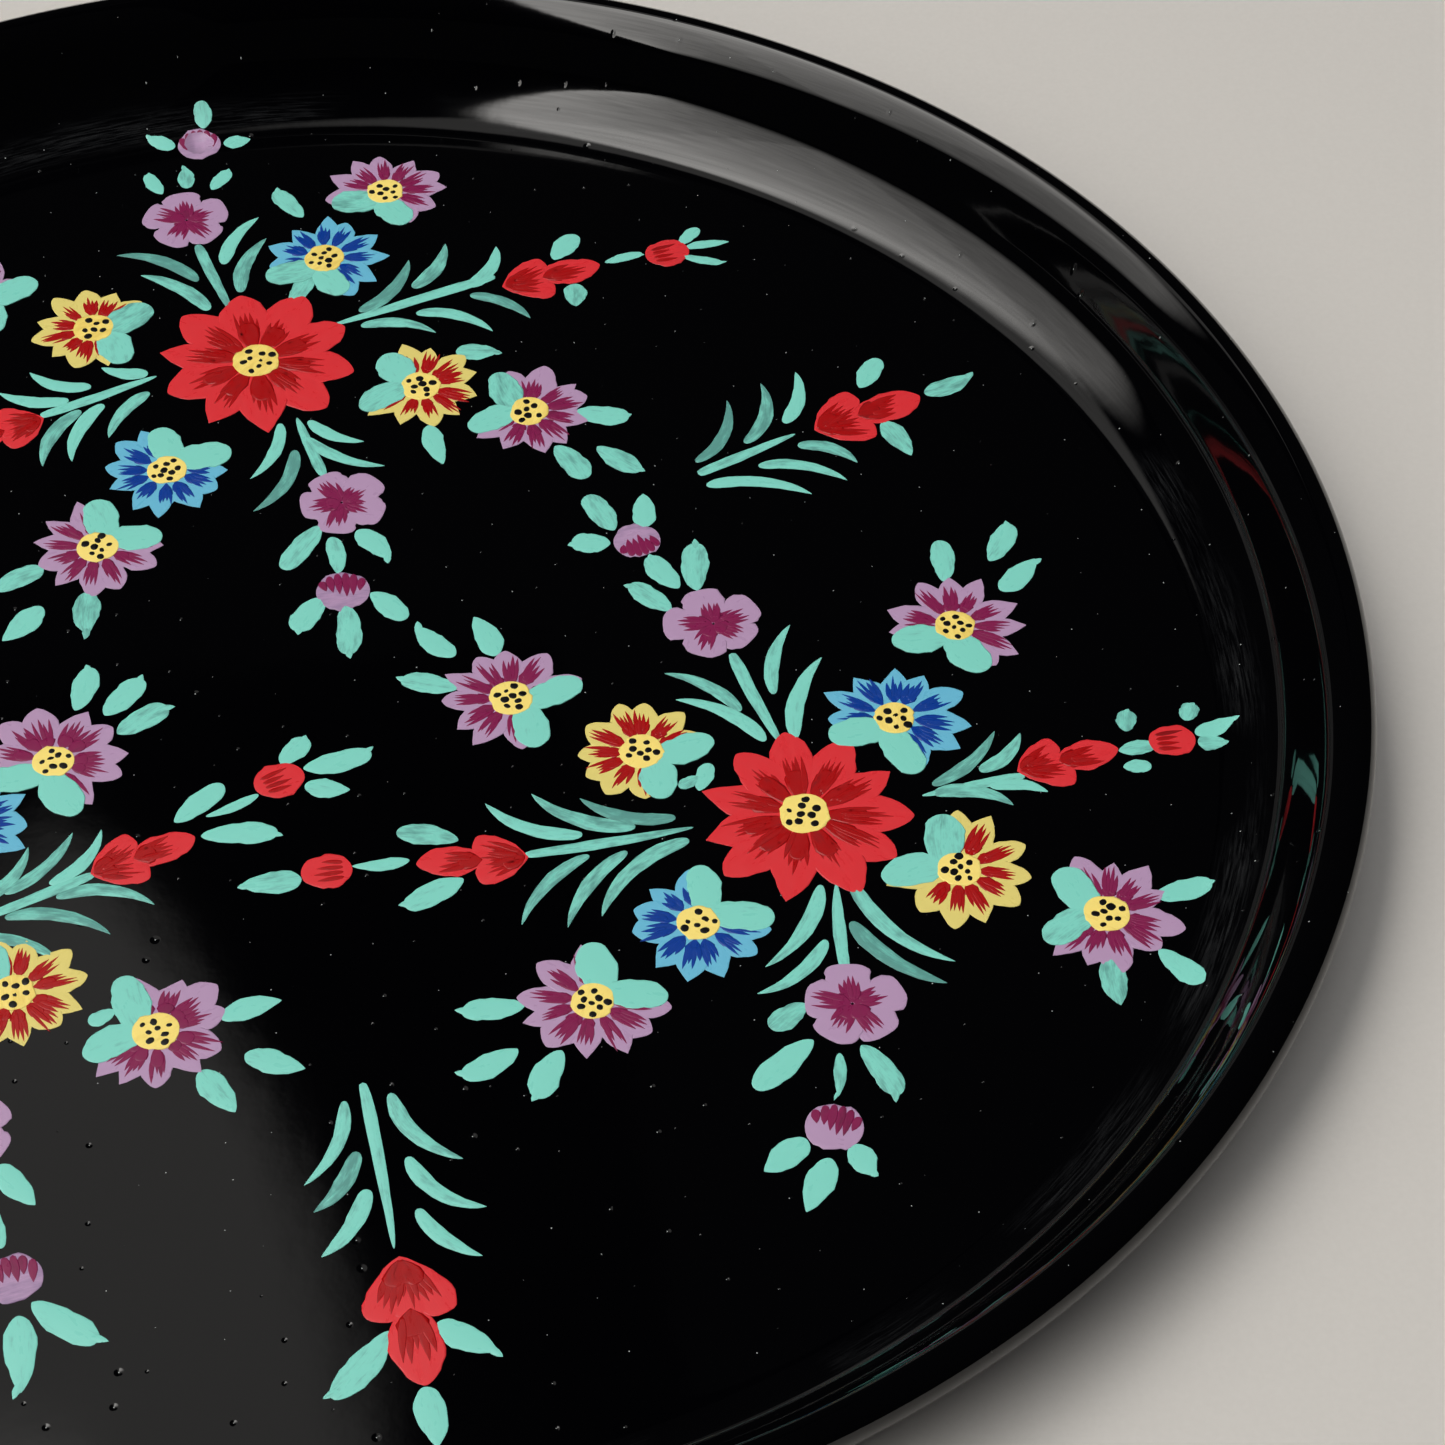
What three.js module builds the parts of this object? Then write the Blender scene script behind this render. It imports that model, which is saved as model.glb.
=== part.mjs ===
// A round painted tray: a pan pressed from one sheet of steel, its edge curled round a steel wire.
// Millimetres, +Z up. The origin is the middle of the flat underside that the tray rests on.
import * as THREE from 'three';

// Driving dimensions of the pan
const trayRadius = 170;       // axis to the outermost point of the rim
const sheet = 0.8;            // thickness of the steel
const floorRadius = 145;      // flat floor, out to the start of the cove
const coveRadius = 15;        // bend from floor to wall, on the side that faces the well
const wallSlope = 65;         // degrees from level
const shoulderRadius = 11;    // bend from wall to rim, on the outer face
const shoulderSlope = 36;     // degrees from level where the shoulder runs into the curl
const curlRadius = 3.3;       // curl, on its outer face
const curlEndSlope = -250;    // degrees turned at the free edge, tucked up under the shoulder

// Driving dimensions of the wire in the curl
const wireGap = 0.3;          // clearance between the wire and the inside of the curl

// How finely the round stretches are cut
const facetsRound = 80;
const coveSteps = 6;
const shoulderSteps = 3;
const curlSteps = 14;
const wireSteps = 10;

// Radii of the middle of the sheet, and the curl's centre
const half = sheet / 2;
const coveBend = coveRadius + half;
const shoulderBend = shoulderRadius - half;
const curlBend = curlRadius - half;
const curlCentre = trayRadius - curlRadius;

const radians = THREE.MathUtils.degToRad;

/** Unit vector square to the sheet, towards its upper face, where the sheet has this slope. */
const upperSide = (slope) => new THREE.Vector2(-Math.sin(slope), Math.cos(slope));

/** A point of the sheet's middle line, with the sheet's slope there in radians. */
const station = (point, slope) => ({ point, slope });

/** Stations along a bend that starts at a station and ends at a slope.
 *  The bend is the middle line's radius: positive for a hollow bend, negative for a crowned one. */
function bendFrom(start, bend, endSlope, steps) {
  const centre = start.point.clone().addScaledVector(upperSide(start.slope), bend);
  return Array.from({ length: steps }, (_, i) => {
    const slope = THREE.MathUtils.lerp(start.slope, endSlope, (i + 1) / steps);
    return station(centre.clone().addScaledVector(upperSide(slope), -bend), slope);
  });
}

/** The sheet's middle line from the axis out to the free edge of the curl. */
function sheetStations() {
  const steep = radians(wallSlope);
  const easy = radians(shoulderSlope);
  const line = [
    station(new THREE.Vector2(0, half), 0),
    station(new THREE.Vector2(floorRadius, half), 0),
  ];
  line.push(...bendFrom(line.at(-1), coveBend, steep, coveSteps));

  // The wall takes up the width that the shoulder and the curl leave over.
  const shoulderRun = shoulderBend * (Math.sin(steep) - Math.sin(easy));
  const curlRun = curlBend * Math.sin(easy);
  const wallFoot = line.at(-1).point;
  const wallRun = curlCentre - curlRun - shoulderRun - wallFoot.x;
  const wallHead = new THREE.Vector2(wallRun, wallRun * Math.tan(steep)).add(wallFoot);
  line.push(station(wallHead, steep));

  line.push(...bendFrom(line.at(-1), -shoulderBend, easy, shoulderSteps));
  line.push(...bendFrom(line.at(-1), -curlBend, radians(curlEndSlope), curlSteps));
  return line;
}

/** Turns a closed outline in the (radius, height) plane about the Z axis. */
function turned(outline, colour, roughness, metalness, name) {
  const geometry = new THREE.LatheGeometry(outline, facetsRound);
  geometry.rotateX(Math.PI / 2);
  const mesh = new THREE.Mesh(geometry, new THREE.MeshStandardMaterial({ color: colour, roughness, metalness }));
  mesh.name = name;
  return mesh;
}

/** The pan: out along the underside, round the free edge, and back along the upper face. */
function pan(stations) {
  const face = (side) => ({ point, slope }) => point.clone().addScaledVector(upperSide(slope), side * half);
  const underside = stations.map(face(-1));
  const upperFace = stations.map(face(1)).reverse();
  return turned([...underside, ...upperFace], 0x0a0a0b, 0.08, 0, 'pan');
}

/** The ring of wire that the edge is curled round, with its own centre at the curl's centre. */
function rimWire(stations) {
  const shoulderEnd = stations.at(-1 - curlSteps);
  const centre = shoulderEnd.point.clone().addScaledVector(upperSide(shoulderEnd.slope), -curlBend);
  const wireRadius = curlRadius - sheet - wireGap;
  const circle = Array.from({ length: wireSteps + 1 }, (_, i) => {
    const turn = (2 * Math.PI * (i % wireSteps)) / wireSteps;
    return new THREE.Vector2(Math.cos(turn), Math.sin(turn)).multiplyScalar(wireRadius).add(centre);
  });
  return turned(circle, 0x8d9094, 0.35, 1, 'rim_wire');
}

const stations = sheetStations();
const group = new THREE.Group();
group.add(pan(stations), rimWire(stations));
export default group;
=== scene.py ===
"""Looks of a round black-lacquered steel tray, hand painted with sprays of flowers.

Lengths in the classes are millimetres and are turned to metres as a mesh is made. The frame is the
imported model's: +Z up, and the middle of the flat underside that the tray rests on at the origin.
"""

import logging
import math
from collections.abc import Callable
from dataclasses import dataclass, field
from enum import Enum
from functools import partial

import bpy
import numpy as np
from mathutils import Matrix, Vector


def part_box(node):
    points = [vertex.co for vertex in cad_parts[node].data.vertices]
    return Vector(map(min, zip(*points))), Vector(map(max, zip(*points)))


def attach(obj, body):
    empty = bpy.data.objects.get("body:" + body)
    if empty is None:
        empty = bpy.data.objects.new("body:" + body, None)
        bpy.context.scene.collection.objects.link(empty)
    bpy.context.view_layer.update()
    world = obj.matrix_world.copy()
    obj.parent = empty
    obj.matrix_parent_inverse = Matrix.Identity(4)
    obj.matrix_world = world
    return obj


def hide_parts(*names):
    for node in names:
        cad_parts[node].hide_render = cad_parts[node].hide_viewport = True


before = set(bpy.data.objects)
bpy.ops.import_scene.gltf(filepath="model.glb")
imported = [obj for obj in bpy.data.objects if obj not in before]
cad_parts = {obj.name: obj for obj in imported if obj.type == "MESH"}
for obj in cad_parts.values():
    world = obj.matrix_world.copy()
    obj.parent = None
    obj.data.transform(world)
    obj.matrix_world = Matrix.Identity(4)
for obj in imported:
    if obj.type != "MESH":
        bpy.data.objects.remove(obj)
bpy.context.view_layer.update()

MM = 0.001
BODY = "root"
log = logging.getLogger("tray")

Point = tuple[float, float]
Line = tuple[float, float, float, float]
Socket = bpy.types.NodeSocket
Add = Callable[[str, dict[str | int, object]], bpy.types.Node]   # add_node for one tree
SMOOTH = {"interpolation_type": "SMOOTHSTEP"}
NOISY = {"From Min": 0.3, "From Max": 0.7}   # noise hardly leaves this span


# ---- colours and nodes


def linear(colour: str) -> tuple[float, ...]:
    """Turns an sRGB hex colour, six digits after a #, to linear red, green, blue and an alpha of 1."""
    parts = np.array([int(colour[i:i + 2], 16) for i in (1, 3, 5)]) / 255
    lit = np.where(parts <= 0.04045, parts / 12.92, ((parts + 0.055) / 1.055) ** 2.4)
    return (*lit.tolist(), 1.0)


def add_node(tree: bpy.types.NodeTree, kind: str, inputs: dict[str | int, object]) -> bpy.types.Node:
    """Adds a node with its settings and links.

    Args:
        tree: the node tree that it goes into.
        kind: Blender's name of its type, less the leading ShaderNode.
        inputs: for an input's name or number its value, or the socket, or the node by its first output,
            that feeds it; for a property's name its setting.

    Returns:
        The new node.
    """
    node = tree.nodes.new("ShaderNode" + kind)
    for name, value in inputs.items():
        if isinstance(value, bpy.types.Node):
            value = value.outputs[0]
        if isinstance(value, Socket):
            tree.links.new(value, node.inputs[name])
        elif isinstance(name, int) or name in node.inputs:
            node.inputs[name].default_value = value
        else:
            setattr(node, name, value)
    return node


def start_material(name: str, shown: str) -> tuple[bpy.types.Material, Add]:
    """Starts a material with an empty node tree.

    Args:
        name: the material's name.
        shown: sRGB hex colour for the solid view.

    Returns:
        The material, and add_node for its tree.
    """
    material = bpy.data.materials.new(name)
    material.use_nodes = True
    material.diffuse_color = linear(shown)
    material.node_tree.nodes.clear()
    return material, partial(add_node, material.node_tree)


# ---- finishes


@dataclass(frozen=True)
class StovedLacquer:
    """Black stoving enamel laid over pressed steel and baked: a deep gloss that still shows how it was
    made, with a slow ripple, pin pits and grains of dust, and grey scuffs where hands wipe the cove."""

    body: str = "#020203"
    dust: str = "#A9ADAB"
    ior: float = 1.52
    roughness: float = 0.035
    haze: float = 0.02             # how much rougher it is where the pits gather
    gather_pitch: float = 38.0     # mm between the places where pits and scuffs gather
    ripple_pitch: float = 9.0      # mm between the soft swells that bend a reflection
    ripple_height: float = 0.012   # mm
    peel_pitch: float = 2.2        # mm, the fine peel of a baked film
    peel_height: float = 0.0022    # mm
    pit_pitch: float = 9.0         # mm between pin pits
    pit_radius: float = 0.9        # mm, drawn wider than a real pin pit so that it shows
    pit_depth: float = 0.05        # mm
    dust_pitch: float = 9.0        # mm between grains of dust
    dust_radius: float = 0.15      # mm
    scuff: str = "#6E7072"
    scuff_ring: tuple[float, float] = (151.0, 4.5)   # mm, radius of the scuffs' middle, and half width
    scuff_pitch: float = 0.35      # mm between scratches, drawn a little coarse so that they show
    scuff_run: float = 0.006       # metres of noise for each radian round, so that they draw out round it
    scuff_cover: float = 0.14      # how much of the black the thickest of them hide

    def spots(self, add: Add, place: Socket, pitch: float, radius: float, sharp: float) -> bpy.types.Node:
        """Lays flat cells, each with one spot of its own size.

        Args:
            add: add_node for the tree.
            place: where a point is.
            pitch: mm between spots.
            radius: the largest spot's, in mm.
            sharp: the share of a spot's radius over which it is at its full.

        Returns:
            A node that gives 1 in a spot and 0 between them.
        """
        cells = add("TexVoronoi", {"voronoi_dimensions": "2D", "Scale": 1 / (pitch * MM), "Vector": place})
        luck = add("SeparateColor", {0: cells.outputs["Color"]})
        reach = add("Math", {"operation": "MULTIPLY", 0: luck, 1: radius / pitch})
        share = add("Math", {"operation": "DIVIDE", 0: cells, 1: reach})
        return add("MapRange", {**SMOOTH, "From Min": sharp, "To Min": 1.0, "To Max": 0.0, "Value": share})

    def scuffs(self, add: Add, place: Socket) -> bpy.types.Node:
        """Draws scratches round the cove, from noise read by radius and hardly by azimuth.

        Args:
            add: add_node for the tree.
            place: where a point is.

        Returns:
            A node that gives how much they cover.
        """
        x, y, _ = add("SeparateXYZ", {0: place}).outputs
        flat = add("CombineXYZ", {0: x, 1: y})
        radius = add("VectorMath", {"operation": "LENGTH", 0: flat}).outputs["Value"]
        azimuth = add("Math", {"operation": "ARCTAN2", 0: y, 1: x})
        run = add("Math", {"operation": "MULTIPLY", 0: azimuth, 1: self.scuff_run})
        wiped = add("CombineXYZ", {0: radius, 1: run})
        noise = add("TexNoise", {
            "Scale": 1 / (self.scuff_pitch * MM), "Detail": 4.0, "Roughness": 0.7, "Vector": wiped})
        scratch = add("MapRange", {
            "From Min": 0.45, "From Max": 0.75, "To Max": self.scuff_cover, "Value": noise})
        middle, half_width = self.scuff_ring
        off = add("Math", {"operation": "SUBTRACT", 0: radius, 1: middle * MM})
        away = add("Math", {"operation": "ABSOLUTE", 0: off})
        ring = add("MapRange", {**SMOOTH, "From Min": half_width * MM, "From Max": 0.0, "Value": away})
        return add("Math", {"operation": "MULTIPLY", 0: scratch, 1: ring})

    def material(self) -> bpy.types.Material:
        """Builds the lacquer's node tree and returns the material."""
        material, add = start_material("stoved_black_lacquer", self.body)
        place = add("TexCoord", {}).outputs["Object"]
        swells = add("TexNoise", {
            "Scale": 1 / (self.ripple_pitch * MM), "Detail": 1.5, "Roughness": 0.4, "Vector": place})
        peel = add("TexNoise", {"Scale": 1 / (self.peel_pitch * MM), "Vector": place})
        gather = add("TexNoise", {"Scale": 1 / (self.gather_pitch * MM), "Detail": 1.0, "Vector": place})
        gathered = add("MapRange", {"From Min": 0.42, "From Max": 0.56, "Value": gather})
        pits = self.spots(add, place, self.pit_pitch, self.pit_radius, 0.0)
        pits = add("Math", {"operation": "MULTIPLY", 0: pits, 1: gathered})
        dust = self.spots(add, place, self.dust_pitch, self.dust_radius, 0.5)
        scuffed = add("Math", {"operation": "MULTIPLY", 0: self.scuffs(add, place), 1: gathered})
        worn = add("Mix", {"data_type": "RGBA", 6: linear(self.body), 7: linear(self.scuff), 0: scuffed})
        colour = add("Mix", {"data_type": "RGBA", 6: worn.outputs[2], 7: linear(self.dust), 0: dust})

        bumps: dict[str, bpy.types.Node] = {}
        for shape, height in (
            (swells, self.ripple_height), (peel, self.peel_height),
            (pits, -self.pit_depth), (dust, self.dust_radius / 2),
        ):
            bumps = {"Normal": add("Bump", {
                "Distance": abs(height) * MM, "invert": height < 0, "Height": shape, **bumps})}

        hazy = add("MapRange", {
            **NOISY, "To Min": self.roughness, "To Max": self.roughness + self.haze, "Value": gather})
        shader = add("BsdfPrincipled", {
            "IOR": self.ior, "Base Color": colour.outputs[2], "Roughness": hazy, **bumps})
        add("OutputMaterial", {0: shader})
        return material


@dataclass(frozen=True)
class BrushedEnamel:
    """Artist's enamel laid with a pointed brush and left to level: opaque where the brush was full and
    see-through to the black where it ran dry, with fine furrows along the stroke and a satin skin."""

    name: str
    body: str
    thin: str
    furrow_pitch: float = 0.22     # mm between bristle marks, drawn a little coarse so that they show
    furrow_height: float = 0.006   # mm
    furrow_run: float = 14.0       # how many times longer than wide a furrow is
    patch_rate: float = 0.7        # thin patches for each mm across, three times as long as they are wide
    roughness: tuple[float, float] = (0.26, 0.4)   # from patch to patch
    ior: float = 1.48

    def material(self) -> bpy.types.Material:
        """Builds the paint's node tree and returns the material."""
        material, add = start_material(self.name, self.body)
        stroke = add("UVMap", {"uv_map": "bristle"})
        load = add("Attribute", {"attribute_name": "load"}).outputs["Fac"]
        drawn = add("Mapping", {"Scale": (1 / self.furrow_run, 1.0, 1.0), "Vector": stroke})
        furrows = add("TexNoise", {
            "noise_dimensions": "2D", "Scale": 1 / self.furrow_pitch, "Roughness": 0.55, "Vector": drawn})
        spread = add("Mapping", {"Scale": (1 / 3, 1.0, 1.0), "Vector": stroke})
        patches = add("TexNoise", {
            "noise_dimensions": "2D", "Scale": self.patch_rate, "Detail": 3.0, "Roughness": 0.6,
            "Vector": spread})
        mixed = add("Math", {"operation": "MULTIPLY_ADD", 0: furrows, 1: 0.4, 2: patches})
        dry = add("Math", {"operation": "SUBTRACT", 0: mixed, 1: load})
        shows = add("MapRange", {**SMOOTH, "From Min": -0.05, "From Max": 0.5, "Value": dry})
        colour = add("Mix", {"data_type": "RGBA", 6: linear(self.body), 7: linear(self.thin), 0: shows})
        satin, dull = self.roughness
        skin = add("MapRange", {**NOISY, "To Min": satin, "To Max": dull, "Value": patches})
        bump = add("Bump", {"Distance": self.furrow_height * MM, "Height": furrows})
        shader = add("BsdfPrincipled", {
            "IOR": self.ior, "Base Color": colour.outputs[2], "Roughness": skin, "Normal": bump})
        add("OutputMaterial", {0: shader})
        return material


@dataclass(frozen=True)
class DrawnWire:
    """Mild steel wire drawn through a die: grey, with fine dark scratches round it and a dull shine."""

    steel: str = "#8F9194"
    scale: str = "#5B5652"
    scratch_pitch: float = 0.35    # mm, coarser than real die lines so that they show
    scratch_height: float = 0.004  # mm

    def material(self) -> bpy.types.Material:
        """Builds the wire's node tree and returns the material."""
        material, add = start_material("drawn_mild_steel_wire", self.steel)
        place = add("TexCoord", {}).outputs["Object"]
        flat = add("Mapping", {"Scale": (0.08, 0.08, 1.0), "Vector": place})
        lines = add("TexNoise", {"Scale": 1 / (self.scratch_pitch * MM), "Detail": 3.0, "Vector": flat})
        mill = add("MapRange", {"From Min": 0.45, "From Max": 0.7, "Value": lines})
        colour = add("Mix", {"data_type": "RGBA", 6: linear(self.steel), 7: linear(self.scale), 0: mill})
        rough = add("MapRange", {"To Min": 0.32, "To Max": 0.5, "Value": lines})
        bump = add("Bump", {"Distance": self.scratch_height * MM, "Height": lines})
        shader = add("BsdfPrincipled", {
            "Metallic": 1.0, "Base Color": colour.outputs[2], "Roughness": rough, "Normal": bump})
        add("OutputMaterial", {0: shader})
        return material


@dataclass(frozen=True)
class BackdropPaper:
    """Pale uncoated studio paper: matt, with the faint tooth of its fibres."""

    paper: str = "#C9C5BF"
    shade: str = "#C3BFB9"
    tooth_pitch: float = 0.9       # mm
    tooth_height: float = 0.03     # mm

    def material(self) -> bpy.types.Material:
        """Builds the paper's node tree and returns the material."""
        material, add = start_material("pale_backdrop_paper", self.paper)
        place = add("TexCoord", {}).outputs["Object"]
        tooth = add("TexNoise", {"Scale": 1 / (self.tooth_pitch * MM), "Detail": 3.0, "Vector": place})
        colour = add("Mix", {"data_type": "RGBA", 6: linear(self.paper), 7: linear(self.shade), 0: tooth})
        bump = add("Bump", {"Strength": 0.4, "Distance": self.tooth_height * MM, "Height": tooth})
        shader = add("BsdfPrincipled", {
            "Roughness": 0.85, "Base Color": colour.outputs[2], "Normal": bump})
        add("OutputMaterial", {0: shader})
        return material


@dataclass(frozen=True)
class LitSilk:
    """White diffusion silk with lamps behind it: brightest along its right edge, crisp there and soft at
    the back, with a dim turned-back hem behind that, so that its reflection has both edges.

    Places on it are p and q, how far a sight line runs along X and Y for each metre that it climbs. The
    lines are dot products with (p, q, 1).
    """

    glow: str = "#FFFCF8"
    even: float = 1.3                    # radiance far in from the edge
    bright: float = 4.2                  # more than that at the edge
    falling: float = 0.33                # how far in, in climbs, before that falls to a third
    folds: tuple[float, float] = (0.8, 1.16)    # its faint folds dim and brighten it between these
    fold_rate: float = 9.0               # folds for each climb
    edge: tuple[float, float, float] = (0.5, 0.325, 0.098)   # middle, curve and offset of the edge
    back_line: tuple[float, float, float] = (0.14, 1.0, 0.0)   # how far back a sight line runs
    back: tuple[float, float] = (0.62, 0.4)                  # the silk fades in between these of it
    hem: float = 0.5                     # radiance of the hem
    hem_edge: tuple[float, float, float] = (0.56, 0.9, 0.004)
    hem_line: tuple[float, float, float] = (0.8, -1.0, 0.95)   # how far in front of the hem's back it runs
    hem_back: tuple[float, float] = (-0.04, 0.04)
    soft: float = 0.018                  # half the width over which an edge fades
    low: tuple[float, float] = (3.3, 2.3)    # it fades in between these lengths of (p, q, 1)

    def inward(self, add: Add, p: Socket, q: Socket, edge: tuple[float, float, float]) -> bpy.types.Node:
        """How far in from a bowed edge a sight line (p, q) runs: -p - offset - curve (q - middle)^2."""
        middle, curve, offset = edge
        off = add("Math", {"operation": "SUBTRACT", 0: q, 1: middle})
        square = add("Math", {"operation": "MULTIPLY", 0: off, 1: off})
        bow = add("Math", {"operation": "MULTIPLY_ADD", 0: square, 1: -curve, 2: -offset})
        return add("Math", {"operation": "SUBTRACT", 0: bow, 1: p})

    def material(self) -> bpy.types.Material:
        """Builds the silk's node tree and returns the material.

        A point divided by its height gives p, q and 1.
        """
        material, add = start_material("lit_diffusion_silk", self.glow)
        place = add("TexCoord", {}).outputs["Object"]
        height = add("SeparateXYZ", {0: place}).outputs["Z"]
        tall = add("CombineXYZ", {0: height, 1: height, 2: height})
        climbs = add("VectorMath", {"operation": "DIVIDE", 0: place, 1: tall})
        p, q, _ = add("SeparateXYZ", {0: climbs}).outputs
        back, hem_back = (
            add("VectorMath", {"operation": "DOT_PRODUCT", 0: climbs, 1: line}).outputs["Value"]
            for line in (self.back_line, self.hem_line))
        length = add("VectorMath", {"operation": "LENGTH", 0: climbs}).outputs["Value"]
        inward = self.inward(add, p, q, self.edge)
        edge = (-self.soft, self.soft)
        noise = add("TexNoise", {
            "Scale": self.fold_rate, "Detail": 4.0, "Roughness": 0.6, "Vector": climbs})
        dim, full = self.folds
        folds = add("MapRange", {**NOISY, "To Min": dim, "To Max": full, "Value": noise})
        in_edge, in_back, in_hem, before_hem_back, in_low = (
            add("MapRange", {**SMOOTH, "From Min": start, "From Max": end, "Value": value})
            for value, (start, end) in (
                (inward, edge), (back, self.back), (self.inward(add, p, q, self.hem_edge), edge),
                (hem_back, self.hem_back), (length, self.low)))

        decay = add("Math", {"operation": "DIVIDE", 0: inward, 1: -self.falling})
        decay = add("Math", {"operation": "EXPONENT", 0: decay})
        shine = add("Math", {"operation": "MULTIPLY_ADD", 0: decay, 1: self.bright, 2: self.even})
        for share in (folds, in_edge, in_back):
            shine = add("Math", {"operation": "MULTIPLY", 0: shine, 1: share})
        hem = add("Math", {"operation": "MULTIPLY", 0: in_hem, 1: self.hem})
        both = add("Math", {"operation": "MULTIPLY_ADD", 0: hem, 1: before_hem_back, 2: shine})
        strength = add("Math", {"operation": "MULTIPLY", 0: both, 1: in_low})
        glow = add("Emission", {"Color": linear(self.glow), "Strength": strength})
        add("OutputMaterial", {0: glow})
        return material


class Paint(Enum):
    """The pots of paint, each with its finish. Each pot's marks make one raised piece."""

    MINT = BrushedEnamel("mint_brushed_enamel", "#7ED0C0", "#57948B")
    RED = BrushedEnamel("red_brushed_enamel", "#D62F35", "#C02A30")
    CRIMSON = BrushedEnamel("crimson_brushed_enamel", "#A20609", "#80040A")
    LEMON = BrushedEnamel("lemon_brushed_enamel", "#DCCC74", "#B0A058")
    BUTTER = BrushedEnamel("butter_brushed_enamel", "#F5DC78", "#E6C860")
    BLACK = BrushedEnamel("black_brushed_enamel", "#08080A", "#060607")
    LILAC = BrushedEnamel("lilac_brushed_enamel", "#AF8FB0", "#92789A")
    MAGENTA = BrushedEnamel("magenta_brushed_enamel", "#7E1A4A", "#62143A")
    SKY = BrushedEnamel("sky_brushed_enamel", "#66B4D0", "#4890B4")
    NAVY = BrushedEnamel("navy_brushed_enamel", "#04388F", "#043A80")


# ---- meshes


def make_piece(name: str, points: np.ndarray, faces: list[list[int]]) -> bpy.types.Object:
    """Makes a smooth-shaded piece.

    Args:
        name: the piece's name.
        points: vertices in millimetres, one row each.
        faces: vertex numbers of each face, in order round its outside.

    Returns:
        The new object, at the origin.
    """
    mesh = bpy.data.meshes.new(name)
    mesh.from_pydata((points * MM).tolist(), [], faces)
    mesh.polygons.foreach_set("use_smooth", np.ones(len(mesh.polygons), bool))
    mesh.update()
    piece = bpy.data.objects.new(name, mesh)
    bpy.context.scene.collection.objects.link(piece)
    return piece


def grid_faces(rows: int, columns: int, closed: bool) -> np.ndarray:
    """Joins a grid of points, numbered along its rows, with quads.

    Args:
        rows: how many rows.
        columns: how many points in each.
        closed: whether each row closes on itself.

    Returns:
        A row of four point numbers for each quad.
    """
    near = np.arange(columns if closed else columns - 1)
    far = (near + 1) % columns
    row = np.arange(rows - 1)[:, None] * columns
    next_row = row + columns
    return np.stack([row + near, next_row + near, next_row + far, row + far], -1).reshape(-1, 4)


def add_uv(mesh: bpy.types.Mesh, name: str, values: np.ndarray) -> None:
    """Gives a mesh a UV map.

    Args:
        mesh: the mesh.
        name: the map's name.
        values: one row of two numbers for each vertex.
    """
    layer = mesh.uv_layers.new(name=name)
    corner = np.zeros(len(mesh.loops), np.int32)
    mesh.loops.foreach_get("vertex_index", corner)
    layer.data.foreach_set("uv", values[corner].astype(np.float32).ravel())


# ---- the pan


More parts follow.
